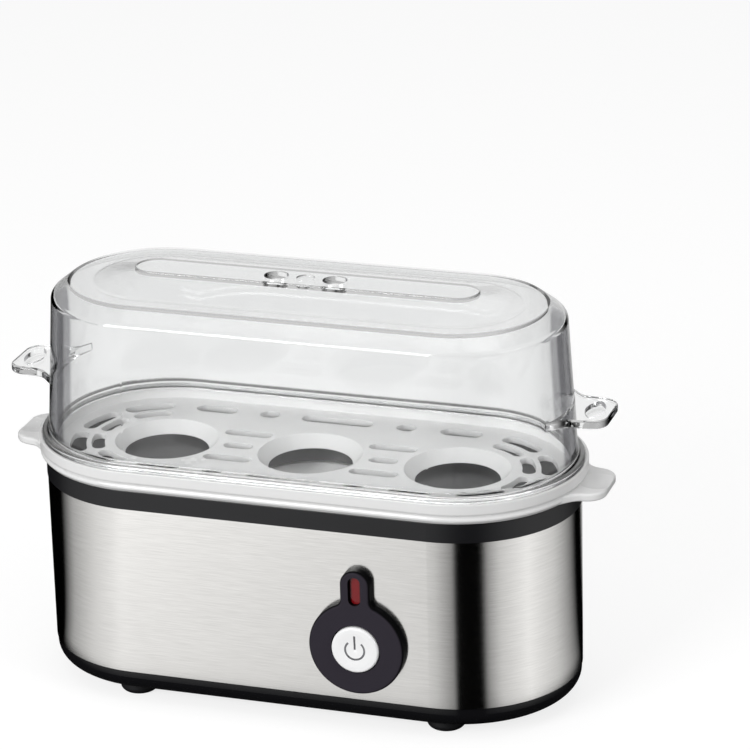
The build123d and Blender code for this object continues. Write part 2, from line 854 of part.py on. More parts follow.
def make_cord_gland():
    """Bush in the rear wall with a bore for the mains lead and a rounded outer flange."""
    bush = outline(
        (gland_bore_radius, gland_flange_thickness, gland_edge_radius / 2),
        (gland_flange_radius, gland_flange_thickness, gland_edge_radius),
        (gland_flange_radius, 0),
        (gland_radius, 0),
        (gland_radius, gland_flange_thickness - gland_length),
        (gland_bore_radius, gland_flange_thickness - gland_length),
    )
    return rear_plane() * spun(bush)


def make_gland_nut():
    """Hexagonal nut that locks the gland from inside."""
    nut = RegularPolygon(gland_nut_radius, 6) - Circle(gland_radius + fixed_gap / 2)
    return layer(nut, -steel_thickness - gland_nut_thickness, -steel_thickness, rear_plane())


def wire(*points):
    """Insulated wire along straight runs with rounded bends."""
    path = FilletPolyline(*points, radius=wire_bend)
    return sweep(Plane(origin=path @ 0, z_dir=path % 0) * Circle(wire_radius), path)


def block_mouth():
    """Depth at which wires enter the terminal block."""
    return block_plane().position.Y - block_way_depth / 2


def board_back():
    """Depth at which wires meet the back of the control board."""
    return front_plane().origin.Y - board_face + board_thickness + fixed_gap


def wire_clear():
    """Straight run of a wire off the block or the board."""
    return (block_mouth() - board_back()) * wire_clear_share


def way_ends(way):
    """Two points on a wire that leaves one way of the terminal block to the front."""
    middle = block_plane().position
    x = middle.X + (way - (block_ways - 1) / 2) * block_pitch
    z = middle.Z + block_height / 2
    return (x, block_mouth() + wire_insert, z), (x, block_mouth() - wire_clear(), z)


def board_ends(side, up):
    """Two points on a wire that meets the back of the control board."""
    place = front_plane().origin
    x = place.X + side * switch_width / 2
    return (x, board_back(), place.Z + up), (x, board_back() + wire_clear(), place.Z + up)


def make_wires():
    """The six wires of the heating circuit under their names."""
    blade_end = thermostat_low - thermostat_blade_length - fixed_gap
    blade_turn = blade_end - wire_drop
    pin_end = element_leg_bottom - element_pin - fixed_gap
    fuse_end = fuse_length / 2 + fuse_lead + fixed_gap
    fuse_turn = fuse_end + wire_drop
    left_pin = pin_place(1)
    right_pin = pin_place(-1)
    live, live_out = way_ends(2)
    neutral, neutral_out = way_ends(1)
    earth, earth_out = way_ends(0)
    low_pad, low_pad_out = board_ends(-1, 0)
    high_pad, high_pad_out = board_ends(1, switch_width)
    earth_x = -(plate_body_radius + collar_flange_radius) / 2
    left_blade = -thermostat_blade_spread
    return {
        "live_wire": wire(
            live, live_out, (low_pad_out[0], live_out[1], live_out[2]),
            (low_pad[0], low_pad_out[1], live_out[2]), low_pad_out, low_pad),
        "switched_wire": wire(
            high_pad, high_pad_out, (thermostat_blade_spread, high_pad_out[1], blade_turn),
            (thermostat_blade_spread, 0, blade_turn), (thermostat_blade_spread, 0, blade_end)),
        "element_wire": wire(
            (left_blade, 0, blade_end), (left_blade, 0, blade_turn),
            (*left_pin, blade_turn), (*left_pin, pin_end)),
        "fuse_wire": wire(
            (*right_pin, pin_end), (*right_pin, blade_turn), (fuse_turn, right_pin[1], blade_turn),
            (fuse_turn, fuse_y, blade_turn), (fuse_turn, fuse_y, fuse_z), (fuse_end, fuse_y, fuse_z)),
        "neutral_wire": wire(
            (-fuse_end, fuse_y, fuse_z), (-fuse_turn, fuse_y, fuse_z), (-fuse_turn, fuse_y, neutral_out[2]),
            (neutral_out[0], fuse_y, neutral_out[2]), neutral),
        "earth_wire": wire(
            earth, earth_out, (earth_x, earth_out[1], blade_turn),
            (earth_x, earth_out[1], clamp_bottom - fixed_gap)),
    }


# Levels of the rack and the lid
rack_floor = rim_top + rack_floor_rise
rack_floor_low = rack_floor - rack_floor_thickness
rack_land = rim_top + rack_rim_height
rack_top = rack_land + rack_lip_height
rack_radius = body_radius + rack_rim_proud
rack_inner_radius = rack_radius - rack_wall - rack_draft
lid_flange_outer = body_radius + lid_flange_proud
lid_top = rack_land + lid_shoulder_height + lid_chamfer_up
lid_crown = lid_top + lid_crown_rise
lid_pill = lid_crown + lid_pill_rise
egg_pitch = core_half * egg_pitch_share
seat_radius = egg_pitch * seat_share
seat_hole_radius = egg_pitch * seat_hole_share
ladder_pitch = body_radius * ladder_pitch_share
ladder_long = egg_pitch * ladder_long_share
ladder_short = egg_pitch * ladder_short_share
inner_ring_radius = body_radius * inner_ring_share
outer_ring_radius = body_radius * outer_ring_share
side_slot_middle = core_half * side_slot_middle_share + outer_ring_width
side_slot_short = core_half * side_slot_short_share + outer_ring_width
side_slot_long = core_half * side_slot_long_share + outer_ring_width
side_slot_gap = core_half * side_slot_gap_share


def grip_plan(root_x, root_width, neck_width, tip_x, tip_width, corner_radius, neck_radius, neck_x):
    """Plan of a grip that stands out of an end: wide root, narrower neck, rounded tip."""
    return outline(
        (root_x, -root_width / 2),
        (neck_x, -neck_width / 2, neck_radius),
        (tip_x, -tip_width / 2, corner_radius),
        (tip_x, tip_width / 2, corner_radius),
        (neck_x, neck_width / 2, neck_radius),
        (root_x, root_width / 2),
    )


def soften_rim(grip, beyond_x, radius):
    """Rounds the upper and lower edges of a flat grip beyond a place on X."""
    flats = grip.faces().sort_by(Axis.Z)
    rims = [edge for flat in (flats[0], flats[-1]) for edge in flat.edges()]
    return fillet([edge for edge in rims if edge.center().X > beyond_x], radius)


def leaf(length, width):
    """Pointed leaf along Y, bounded by two arcs."""
    tip = (0, length / 2)
    tail = (0, -length / 2)
    return make_face([
        ThreePointArc(tail, (width / 2, 0), tip),
        ThreePointArc(tip, (-width / 2, 0), tail),
    ])


def ring_hole(radius, width, angle):
    """Steam hole along an arc about the end of the long axis."""
    half = radians(ring_hole_angle / 2)
    middle = radians(angle)
    path = ThreePointArc(*[
        (core_half + radius * cos(middle + turn), radius * sin(middle + turn)) for turn in (-half, 0, half)])
    return rounded_line(path, width)


def steam_holes():
    """All the slots of the rack's floor, as one flat pattern."""
    holes = []
    for number in range(ring_holes):
        angle = (number - (ring_holes - 1) / 2) * ring_hole_step
        for radius, width in ((inner_ring_radius, inner_ring_width), (outer_ring_radius, outer_ring_width)):
            hole = ring_hole(radius, width, angle)
            holes += [hole, mirror(hole, Plane.YZ)]
    for side in (-1, 1):
        holes.append(Pos(side * egg_pitch / 2, 0) * SlotOverall(ladder_short, slot_width))
        for row in (-1, 1):
            holes.append(Pos(side * egg_pitch / 2, row * ladder_pitch) * SlotOverall(ladder_long, slot_width))
    short_x = (side_slot_middle + side_slot_short) / 2 + side_slot_gap
    long_x = short_x + (side_slot_short + side_slot_long) / 2 + side_slot_gap
    for row in (-outer_ring_radius, outer_ring_radius):
        holes.append(Pos(0, row) * SlotOverall(side_slot_middle, outer_ring_width))
        for side in (-1, 1):
            holes.append(Pos(side * short_x, row) * SlotOverall(side_slot_short, outer_ring_width))
            holes.append(Pos(side * long_x, row) * SlotOverall(side_slot_long, outer_ring_width))
    return holes


def make_egg_rack():
    """White rack: double-beaded rim, floor with egg seats and steam slots, skirt and two tabs."""
    skirt_radius = rim_inner_radius - rack_skirt_gap
    skirt_low = rim_top - step_drop + moving_gap
    foot_radius_low = body_radius + rack_foot_proud
    groove_z = rim_top + rack_groove_height
    lip_radius = lid_flange_outer + moving_gap
    rack = round_the_plan(outline(
        (0, rack_floor_low),
        (skirt_radius - rack_skirt_wall, rack_floor_low),
        (skirt_radius - rack_skirt_wall, skirt_low),
        (skirt_radius, skirt_low),
        (skirt_radius, rim_top),
        (foot_radius_low, rim_top),
        (rack_radius, (rim_top + groove_z) / 2, rack_bead_radius),
        (rack_radius - rack_groove_depth, groove_z, rack_bead_radius),
        (rack_radius, groove_z + rack_bead_radius, rack_bead_radius),
        (rack_radius, rack_top, rack_edge_radius / 2),
        (lip_radius, rack_top),
        (lip_radius, rack_land),
        (rack_radius - rack_wall, rack_land, rack_edge_radius),
        (rack_inner_radius, rack_floor),
        (0, rack_floor),
    ))
    root_x = core_half + rack_inner_radius
    tab = grip_plan(
        root_x, rack_tab_root_width, rack_tab_neck_width, body_length / 2 + rack_tab_reach,
        rack_tab_tip_width, rack_tab_corner_radius, rack_tab_neck_radius, core_half + rack_radius)
    tab = extrude(Pos(0, 0, rim_top) * tab, rack_tab_thickness)
    tab -= round_the_plan(outline(
        (0, rim_top - cut_overrun),
        (body_radius, rim_top - cut_overrun),
        (body_radius, rack_top),
        (0, rack_top),
    ))
    tab = soften_rim(tab, body_length / 2 + rack_rim_proud, rack_tab_edge_radius)
    dish_x = body_length / 2 + (rack_rim_proud + rack_tab_reach) / 2
    dish_z = rim_top + rack_tab_thickness + rack_dish_radius - rack_dish_depth
    tab -= Pos(dish_x, 0, dish_z) * Sphere(rack_dish_radius)
    rack = rack + tab + mirror(tab, Plane.YZ)
    cone = spun(outline(
        (0, rack_floor - seat_depth),
        (seat_hole_radius + seat_wall, rack_floor - seat_depth),
        (seat_radius + seat_wall, rack_floor),
        (0, rack_floor),
    ))
    hollow = spun(outline(
        (0, rack_floor - seat_depth - cut_overrun),
        (seat_hole_radius, rack_floor - seat_depth - cut_overrun),
        (seat_hole_radius, rack_floor - seat_depth),
        (seat_radius, rack_floor),
        (seat_radius, rack_floor + cut_overrun),
        (0, rack_floor + cut_overrun),
    ))
    for seat in (-1, 0, 1):
        rack = rack + Pos(seat * egg_pitch, 0, 0) * cone - Pos(seat * egg_pitch, 0, 0) * hollow
    low = rack_floor_low - cut_overrun
    depth = rack_floor_thickness + cut_overrun * 2
    cutters = [extrude(Pos(0, 0, low) * hole, depth) for hole in steam_holes()]
    return rack.cut(*cutters)


def mirrored_outline(*corners):
    """Closed face through the corners and their mirror images about the vertical axis."""
    other = [(-corner[0], *corner[1:]) for corner in reversed(corners)]
    return outline(*corners, *other)


def make_lid():
    """Clear cover: flange, drafted wall, shoulder, ring, crowned middle with vents, and two ears."""
    foot = body_radius - lid_foot_inset
    shoulder = body_radius - lid_shoulder_inset
    shoulder_z = rack_land + lid_shoulder_height
    ring = shoulder - lid_chamfer_in
    valley = ring - lid_ring_width
    above_flange = rack_land + lid_flange_thickness
    upper = (
        (shoulder, shoulder_z, lid_shoulder_radius),
        (ring, lid_top, lid_chamfer_radius),
        (valley, lid_top, lid_valley_radius),
        (lid_pill_half_width, lid_crown),
    )
    outer = outline(
        (0, rack_land),
        (lid_flange_outer, rack_land),
        (lid_flange_outer, above_flange, lid_flange_radius),
        (foot, above_flange, lid_foot_radius),
        *upper,
        (0, lid_crown),
    )
    open_end = rack_land - lid_wall - cut_overrun
    cavity = offset(mirrored_outline((foot, open_end), *upper), -lid_wall) & outer
    lid = round_the_plan(outer - cavity)
    hollow = round_the_plan(cavity)
    lid += round_the_plan(outline(
        (0, lid_crown - lid_wall / 2),
        (lid_pill_half_width, lid_crown - lid_wall / 2),
        (lid_pill_half_width, lid_pill, lid_pill_edge_radius),
        (0, lid_pill),
    ))
    ear_top = rack_land + lid_ear_rise
    ear_low = ear_top - lid_ear_thickness
    wall_x = core_half + shoulder
    tip_x = core_half + foot + lid_ear_reach
    plan = grip_plan(
        wall_x - lid_wall, lid_ear_root_width, lid_ear_neck_width, tip_x, lid_ear_tip_width,
        lid_ear_corner_radius, lid_ear_neck_radius, core_half + foot)
    ear = extrude(Pos(0, 0, ear_low) * plan, lid_ear_thickness)
    ear = soften_rim(ear, core_half + foot, lid_ear_edge_radius)
    pocket = leaf(lid_pocket_length, lid_pocket_width)
    pocket_x = tip_x - lid_pocket_inset - lid_pocket_width / 2
    pocket = Pos(pocket_x, 0, ear_top - lid_pocket_depth) * pocket
    ear = ear - extrude(pocket, lid_pocket_depth + cut_overrun) - hollow
    lid = lid + ear + mirror(ear, Plane.YZ)
    vent = column(vent_radius, lid_crown - lid_wall * 2, lid_pill + cut_overrun)
    for side in (-1, 1):
        lid -= Pos(side * vent_spread, 0, 0) * vent
    return lid - column(dimple_radius, lid_pill - dimple_depth, lid_pill + cut_overrun)


def make_pieces():
    """Every piece under its name; a list is a group of like pieces."""
    foot = make_foot()
    pieces = {
        "bottom_cover": make_bottom_cover(),
        "base_screws": make_base_screws(),
        "steel_sleeve": make_steel_sleeve(),
        "upper_housing": make_upper_housing(),
        "plate_seal": make_plate_seal(),
        "heating_plate": make_heating_plate(),
        "clamp_ring": make_clamp_ring(),
        "clamp_screws": make_clamp_screws(),
        "heating_element": make_heating_element(),
        "thermostat": make_thermostat(),
        "thermostat_screws": make_thermostat_screws(),
        "thermal_fuse": make_thermal_fuse(),
        "fuse_clip": make_fuse_clip(),
        "control_panel": make_control_panel(),
        "indicator_lens": make_indicator_lens(),
        "control_board": make_control_board(),
        "board_screws": make_board_screws(),
        "switch_body": make_switch_body(),
        "neon_lamp": make_neon_lamp(),
        "button_cap": make_button_cap(),
        "switch_plunger": make_switch_plunger(),
        "return_spring": make_return_spring(),
        "terminal_block": make_terminal_block(),
        "block_screws": make_block_screws(),
        "cord_gland": make_cord_gland(),
        "gland_nut": make_gland_nut(),
        "egg_rack": make_egg_rack(),
        "lid": make_lid(),
        **make_wires(),
    }
    for end, y in (("front", -foot_y), ("rear", foot_y)):
        for side, x in (("left", -foot_x), ("right", foot_x)):
            pieces[f"foot_{end}_{side}"] = Pos(x, y, 0) * foot
    return pieces


# The origin lies below the middle of the whole cooker, so the plan moves back by half the difference
# between how far the button stands out in front and how far the rack or the gland does behind
front_reach = body_radius + button_face
rear_reach = max(rack_radius, body_radius + gland_flange_thickness)
to_origin = Pos(0, (front_reach - rear_reach) / 2, 0)

os.makedirs("parts", exist_ok=True)
for name, shape in make_pieces().items():
    group = shape if isinstance(shape, list) else [shape]
    solids = [to_origin * solid for item in group for solid in item.solids()]
    export_step(Compound(children=solids), f"parts/{name}.step")
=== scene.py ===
"""Looks of the electric egg cooker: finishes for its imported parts, a plain stage and a camera."""
import math
from typing import NamedTuple

import bpy
from bpy.props import FloatProperty, FloatVectorProperty, IntProperty, PointerProperty
from mathutils import Matrix, Vector


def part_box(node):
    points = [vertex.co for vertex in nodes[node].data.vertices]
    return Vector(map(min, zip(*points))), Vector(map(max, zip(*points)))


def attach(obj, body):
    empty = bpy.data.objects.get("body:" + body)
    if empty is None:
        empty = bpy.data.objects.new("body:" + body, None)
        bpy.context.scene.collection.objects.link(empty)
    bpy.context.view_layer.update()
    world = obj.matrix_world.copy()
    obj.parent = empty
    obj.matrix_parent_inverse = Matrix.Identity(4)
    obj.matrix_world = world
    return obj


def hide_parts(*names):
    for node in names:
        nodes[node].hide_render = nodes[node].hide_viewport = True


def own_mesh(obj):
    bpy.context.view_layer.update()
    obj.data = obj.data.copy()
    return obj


bl_info = {
    "name": "Egg cooker looks",
    "version": (1, 0, 0),
    "blender": (4, 5, 0),
    "location": "View3D > Sidebar > Egg cooker",
    "description": "Finishes, stage and camera for the electric egg cooker",
    "category": "Material",
}

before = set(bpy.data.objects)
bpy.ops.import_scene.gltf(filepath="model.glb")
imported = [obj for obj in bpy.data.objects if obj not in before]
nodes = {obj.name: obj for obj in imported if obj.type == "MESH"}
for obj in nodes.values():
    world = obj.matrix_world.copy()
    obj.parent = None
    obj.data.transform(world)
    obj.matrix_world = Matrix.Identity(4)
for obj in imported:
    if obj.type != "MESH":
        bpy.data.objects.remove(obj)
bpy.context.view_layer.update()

# Sockets of a Mix node that mixes colours: factor and two colours in, one colour out
MIX_INPUTS = (0, 6, 7)
MIX_RESULT = 2

# Range that most values of a noise texture lie in
NOISE_LOW = 0.3
NOISE_HIGH = 0.7

# Spread of roughness and of tone over a moulded piece, and of roughness over brushed steel
GLOSS_SPREAD = 0.04
TONE_SPREAD = 0.06
BRUSH_GLOSS_SPREAD = 0.16

# Coarse and medium moulded grain, as multiples of the grain's pitch
COARSE_GRAIN = 4
MEDIUM_GRAIN = 3

# How far clear plastic turns away before its painted edge shade darkens it a little, starts in earnest and is
# full
EDGE_SOFT_START = 0.25
EDGE_START = 0.49
EDGE_END = 0.53

# Share of the painted edge shade that it has where that shade starts in earnest
EDGE_SOFT_TONE = 0.25

# Light that clear plastic lets through to what it covers, and the mirror depth past which it does only that
CLEAR_SHADOW = (0.72, 0.72, 0.72, 1.0)
TRAPPED_DEPTH = 2.5

# Forward lean of the control panel's surface on its face and on its side wall, between which the side wall's
# painted shade sets in
FACE_LEAN = -0.95
SIDE_LEAN = -0.6

# Where the window's red fades into the painted shade at its edges, as shares of its half width
RED_SHARE = 0.4
RED_END_SHARE = 0.62

# Studio cards round the cooker: angle from the front towards the right, in degrees, and brightness
CARD_STOPS = (
    (-157, 0.85), (-141, 0.0), (-99, 0.0), (-80, 0.4), (-50, 0.7), (-31, 0.83), (-20, 0.95), (-12, 0.78),
    (5, 0.38), (7.4, 0.3), (9.2, 0.0), (34.6, 0.0), (39.6, 0.32), (52, 0.67), (80, 1.02), (110, 0.7),
    (130, 0.34), (146, 0.0), (163, 0.0), (175, 0.85),
)

# Room behind the cards: height and brightness
SKY_STOPS = ((0.15, 0.75), (0.6, 1.0))

# Lay-out of the cards on the mirrored floor, as shares of the radius of the sleeve's ends
CARD_APEX_SHARE = 0.17
CARD_BLEND_SHARE = 0.4
CARD_BACK_SHARE = 0.48

# Where the mirrored floor has its full brightness at the left, as a share of the way to the cards' apex
FLOOR_LEFT_SHARE = -2

# Brightness of the mirrored floor at the left, in the middle, past the right end and close to the base
FLOOR_LEFT = 1.13
FLOOR_MIDDLE = 0.84
FLOOR_RIGHT = 1.02
FLOOR_CLOSE = 0.02

# Start and end of the dark ring on the mirrored floor, as shares of the sleeve's height above it
RING_START_SHARE = 1.3
RING_END_SHARE = 2.0

# Colours of the floor: what the camera sees, and what takes light and shadow
FLOOR_WHITE = (1.0, 1.0, 1.0, 1.0)
FLOOR_MATT = (0.3, 0.3, 0.3, 1.0)

# Diffuse depth that parts rays seen directly from those that only light a surface
DIRECT_DEPTH = 0.5

# Camera: width of the sensor in mm, and the nearest thing it sees
SENSOR_WIDTH = 36.0
CLIP_START = 0.01


class Finish(NamedTuple):
    """A finish of one colour and the nodes that have it."""

    colour: tuple
    depth: float
    gloss: float
    nodes: tuple
    metallic: float = 0.0
    coarse: float = 1.0
    tone: float = TONE_SPREAD


class Softbox(NamedTuple):
    """A square lamp: its place, the point that it faces, its side, and whether mirrors show it."""

    place: tuple
    aim: tuple
    side: float
    mirrored: bool = True


FASTENER_FINISHES = {
    "zinc_plated": Finish(
        (0.58, 0.58, 0.56), depth=0.08, gloss=0.3, metallic=1.0,
        nodes=("base_screws", "clamp_screws", "thermostat_screws", "board_screws", "block_screws",
               "clamp_ring", "fuse_clip")),
}
HEATER_FINISHES = {
    "plate_cast": Finish(
        (0.78, 0.78, 0.775), depth=0.6, gloss=0.5, metallic=1.0, coarse=1.5, tone=0.1,
        nodes=("heating_plate",)),
    "silicone_red": Finish((0.1, 0.02, 0.014), depth=0.1, gloss=0.5, nodes=("plate_seal",)),
    "element_dull": Finish(
        (0.25, 0.24, 0.23), depth=0.3, gloss=0.45, metallic=1.0, nodes=("heating_element",)),
    "ceramic_white": Finish((0.78, 0.76, 0.71), depth=0.1, gloss=0.35, nodes=("thermostat",)),
    "brass_plain": Finish((0.6, 0.42, 0.16), depth=0.05, gloss=0.28, metallic=1.0, nodes=("thermal_fuse",)),
}
WORKS_FINISHES = {
    "board_green": Finish((0.03, 0.13, 0.05), depth=0.1, gloss=0.3, nodes=("control_board",)),
    "nylon_natural": Finish(
        (0.76, 0.75, 0.7), depth=0.1, gloss=0.4, nodes=("terminal_block", "switch_plunger")),
    "wire_brown": Finish((0.14, 0.055, 0.025), depth=0.1, gloss=0.45, nodes=("live_wire", "switched_wire")),
    "wire_white": Finish((0.72, 0.72, 0.7), depth=0.1, gloss=0.45, nodes=("element_wire", "fuse_wire")),
    "wire_blue": Finish((0.02, 0.07, 0.3), depth=0.1, gloss=0.45, nodes=("neutral_wire",)),
    "wire_green": Finish((0.05, 0.25, 0.06), depth=0.1, gloss=0.45, nodes=("earth_wire",)),
}
SOFTBOXES = {
    "top": Softbox(place=(0.05, -0.1, 1.3), aim=(0, 0, 0.1), side=1.1),
    "key": Softbox(place=(-0.6, -1.3, 0.6), aim=(0, 0, 0.08), side=0.8),
    "fill": Softbox(place=(1.2, -0.3, 0.6), aim=(0, 0, 0.08), side=0.7, mirrored=False),
}


class CookerFinish(bpy.types.PropertyGroup):
    """Colours, gloss and grain of the cooker's pieces."""

    steel_light: FloatVectorProperty(
        name="Steel light", description="Bright tone of the brushed lines", subtype="COLOR",
        default=(0.812, 0.802, 0.782))
    steel_dark: FloatVectorProperty(
        name="Steel dark", description="Dull tone of the brushed lines", subtype="COLOR",
        default=(0.71, 0.70, 0.68))
    steel_gloss: FloatProperty(
        name="Steel roughness", description="Mean roughness of the brushed steel", default=0.14, min=0, max=1,
        subtype="FACTOR")
    steel_stretch: FloatProperty(
        name="Steel stretch", description="How far the steel spreads a mirror image up and down",
        default=0.75, min=0, max=1, subtype="FACTOR")
    brush_pitch: FloatProperty(
        name="Brush pitch", description="Distance between brushed lines", default=0.00024, unit="LENGTH")
    brush_run: FloatProperty(
        name="Brush run", description="Length of one brushed line", default=0.009, unit="LENGTH")
    brush_depth: FloatProperty(
        name="Brush depth", description="Strength of the brushed lines' relief", default=0.25, min=0, max=1,
        subtype="FACTOR")
    charcoal: FloatVectorProperty(
        name="Charcoal", description="Satin plastic of the upper housing", subtype="COLOR",
        default=(0.006, 0.006, 0.0072))
    panel: FloatVectorProperty(
        name="Panel", description="Satin face of the control panel", subtype="COLOR",
        default=(0.0318, 0.028, 0.0367))
    # Near-black painted shade on the control panel's side wall
    panel_side_shade: FloatVectorProperty(
        name="Panel side", description="Black side wall of the control panel", subtype="COLOR",
        default=(0.0025, 0.0025, 0.003))
    black: FloatVectorProperty(
        name="Black", description="Polished plastic of the bottom cover", subtype="COLOR",
        default=(0.006, 0.006, 0.007))
    white: FloatVectorProperty(
        name="White", description="Glossy plastic of the egg rack", subtype="COLOR",
        default=(0.785, 0.785, 0.783))
    red: FloatVectorProperty(
        name="Red", description="Indicator window", subtype="COLOR", default=(0.27, 0.008, 0.012))
    # Painted shade at the long edges of the indicator window, where it sits in its recess
    red_edge_shade: FloatVectorProperty(
        name="Red edge", description="Edge of the indicator window", subtype="COLOR",
        default=(0.02, 0.002, 0.003))
    silver: FloatVectorProperty(
        name="Button", description="Face of the push button", subtype="COLOR", default=(0.93, 0.93, 0.935))
    # Painted shade in the grooves of the on-off sign
    sign: FloatVectorProperty(
        name="Sign", description="Grooves of the on-off sign", subtype="COLOR", default=(0.16, 0.16, 0.17))
    lid: FloatVectorProperty(
        name="Lid", description="Clear plastic of the lid", subtype="COLOR", default=(0.91, 0.915, 0.915))
    # Painted shade on the lid's upright edges where they turn from view, standing in for the dark
    # surroundings they mirror
    lid_edge_shade: FloatVectorProperty(
        name="Lid edge", description="Upright edges of the lid", subtype="COLOR", default=(0.14, 0.14, 0.15))
    spring: FloatVectorProperty(
        name="Spring", description="Bright wire of the return spring", subtype="COLOR",
        default=(0.6, 0.6, 0.6))
    grain_pitch: FloatProperty(
        name="Grain pitch", description="Size of the moulded grain", default=0.0004, unit="LENGTH")


class CookerSign(bpy.types.PropertyGroup):
    """On-off sign on the button."""

    ring: FloatProperty(name="Ring", description="Radius of the open ring", default=0.0032, unit="LENGTH")
    line: FloatProperty(
        name="Line", description="Half the width of the lines", default=0.00033, unit="LENGTH")
    gap: FloatProperty(
        name="Gap", description="Half the ring's opening", default=0.73, subtype="ANGLE", unit="ROTATION")
    bar_middle: FloatProperty(
        name="Bar middle", description="Height of the bar's middle over the ring's", default=0.0026,
        unit="LENGTH")
    bar_half: FloatProperty(
        name="Bar half", description="Half the bar's length", default=0.0024, unit="LENGTH")


class CookerSpring(bpy.types.PropertyGroup):
    """Return spring behind the button."""

    turns: IntProperty(name="Turns", description="Turns of the coil", default=4, min=1)
    wire: FloatProperty(name="Wire", description="Radius of the wire", default=0.0003, unit="LENGTH")
    steps: IntProperty(name="Steps", description="Points along one turn", default=28, min=8)


class CookerStage(bpy.types.PropertyGroup):
    """Camera, lamps and floor."""

    eye: FloatVectorProperty(
        name="Eye", description="Place of the camera", subtype="TRANSLATION", unit="LENGTH",
        default=(0.37633, -1.06538, 0.54130))
    aim: FloatVectorProperty(
        name="Aim", description="Point in the middle of the picture", subtype="TRANSLATION", unit="LENGTH",
        default=(0.01660, 0.01904, 0.10081))
    roll: FloatProperty(
        name="Roll", description="Turn of the camera about its view", subtype="ANGLE", unit="ROTATION",
        default=math.radians(1.424))
    lens: FloatProperty(
        name="Lens", description="Focal length of the camera, in mm", default=179.85, unit="CAMERA")
    floor_reach: FloatProperty(
        name="Floor reach", description="Half the side of the floor", default=4.0, unit="LENGTH")
    floor_glow: FloatProperty(
        name="Floor glow", description="Share of the floor's white that shadows don't reach", default=0.78,
        min=0, max=1, subtype="FACTOR")
    top_power: FloatProperty(
        name="Top", description="Overhead lamp, in watts", default=2.5, unit="POWER")
    key_power: FloatProperty(
        name="Key", description="Key lamp, in watts", default=17.0, unit="POWER")
    fill_power: FloatProperty(
        name="Fill", description="Right-hand lamp, in watts", default=5.0, unit="POWER")
    ambient: FloatProperty(
        name="Ambient", description="Level of the room's own light", default=0.38, min=0, max=1,
        subtype="FACTOR")


def nodes_of(tree, *kinds):
    """New nodes of these kinds in a tree, in order."""
    return [tree.nodes.new("ShaderNode" + kind) for kind in kinds]


def set_inputs(node, **values):
    """Plain values on a node's sockets; a name's underscores stand for spaces."""
    for name, value in values.items():
        node.inputs[name.replace("_", " ")].default_value = value


def feed(tree, socket, value):
    """Links a socket to another, or sets a plain value on it."""
    if isinstance(value, bpy.types.NodeSocket):
        tree.links.new(value, socket)
    else:
        socket.default_value = value


def math_node(tree, operation, *values, clamp=False):
    """A math node fed by sockets or plain numbers; gives its output."""
    node = tree.nodes.new("ShaderNodeMath")
    node.operation = operation
    node.use_clamp = clamp
    for socket, value in zip(node.inputs, values):
        feed(tree, socket, value)
    return node.outputs[0]


def map_range(tree, value, low, high, to_low, to_high):
    """A clamped range map of a socket; the four limits may be sockets or numbers."""
    node = tree.nodes.new("ShaderNodeMapRange")
    names = ("Value", "From Min", "From Max", "To Min", "To Max")
    for name, given in zip(names, (value, low, high, to_low, to_high)):
        feed(tree, node.inputs[name], given)
    return node.outputs["Result"]


def colour_mix(tree, factor, first, second, blend="MIX"):
    """A colour between two others, which may be sockets or colours; gives its output."""
    node = tree.nodes.new("ShaderNodeMix")
    node.data_type = "RGBA"
    node.blend_type = blend
    for number, value in zip(MIX_INPUTS, (factor, first, second)):
        feed(tree, node.inputs[number], value)
    return node.outputs[MIX_RESULT]


def axes_of(tree, kind):
    """X, Y and Z of a kind of texture coordinate."""
    place, apart = nodes_of(tree, "TexCoord", "SeparateXYZ")
    tree.links.new(place.outputs[kind], apart.inputs[0])
    return [apart.outputs[axis] for axis in "XYZ"]


def fill_ramp(ramp, stops):
    """Sets the stops of a colour ramp, each a position and a grey level."""
    bands = ramp.color_ramp.elements
    while len(bands) < len(stops):
        bands.new(0.5)
    for band, (position, level) in zip(bands, stops):
        band.position = position
        band.color = (level, level, level, 1.0)


def new_group(name, inputs, outputs):
    """An empty shader group with these sockets, each (name, kind)."""
    group = bpy.data.node_groups.new(name, "ShaderNodeTree")
    for way, sockets in (("INPUT", inputs), ("OUTPUT", outputs)):
        for title, kind in sockets:
            group.interface.new_socket(title, in_out=way, socket_type="NodeSocket" + kind)
    return group, group.nodes.new("NodeGroupInput"), group.nodes.new("NodeGroupOutput")


def moulded_grain():
    """Shared group: fine moulded grain with slow changes of gloss and tone."""
    found = bpy.data.node_groups.get("moulded_grain")
    if found:
        return found
    group, given, out = new_group(
        "moulded_grain",
        [("Pitch", "Float"), ("Depth", "Float"), ("Gloss low", "Float"), ("Gloss high", "Float")],
        [("Tone", "Float"), ("Roughness", "Float"), ("Normal", "Vector")])
    place, fine, slow, bump = nodes_of(group, "TexCoord", "TexNoise", "TexNoise", "Bump")
    link = group.links.new
    link(place.outputs["Object"], fine.inputs["Vector"])
    link(place.outputs["Object"], slow.inputs["Vector"])
    link(math_node(group, "DIVIDE", 1.0, given.outputs["Pitch"]), fine.inputs["Scale"])
    set_inputs(fine, Detail=2.0)
    set_inputs(slow, Scale=38.0, Detail=4.0, Roughness=0.6)
    set_inputs(bump, Distance=0.0001)
    link(fine.outputs["Fac"], bump.inputs["Height"])
    link(given.outputs["Depth"], bump.inputs["Strength"])
    gloss = map_range(
        group, slow.outputs["Fac"], NOISE_LOW, NOISE_HIGH, given.outputs["Gloss low"],
        given.outputs["Gloss high"])
    link(slow.outputs["Fac"], out.inputs["Tone"])
    link(gloss, out.inputs["Roughness"])
    link(bump.outputs["Normal"], out.inputs["Normal"])
    return group


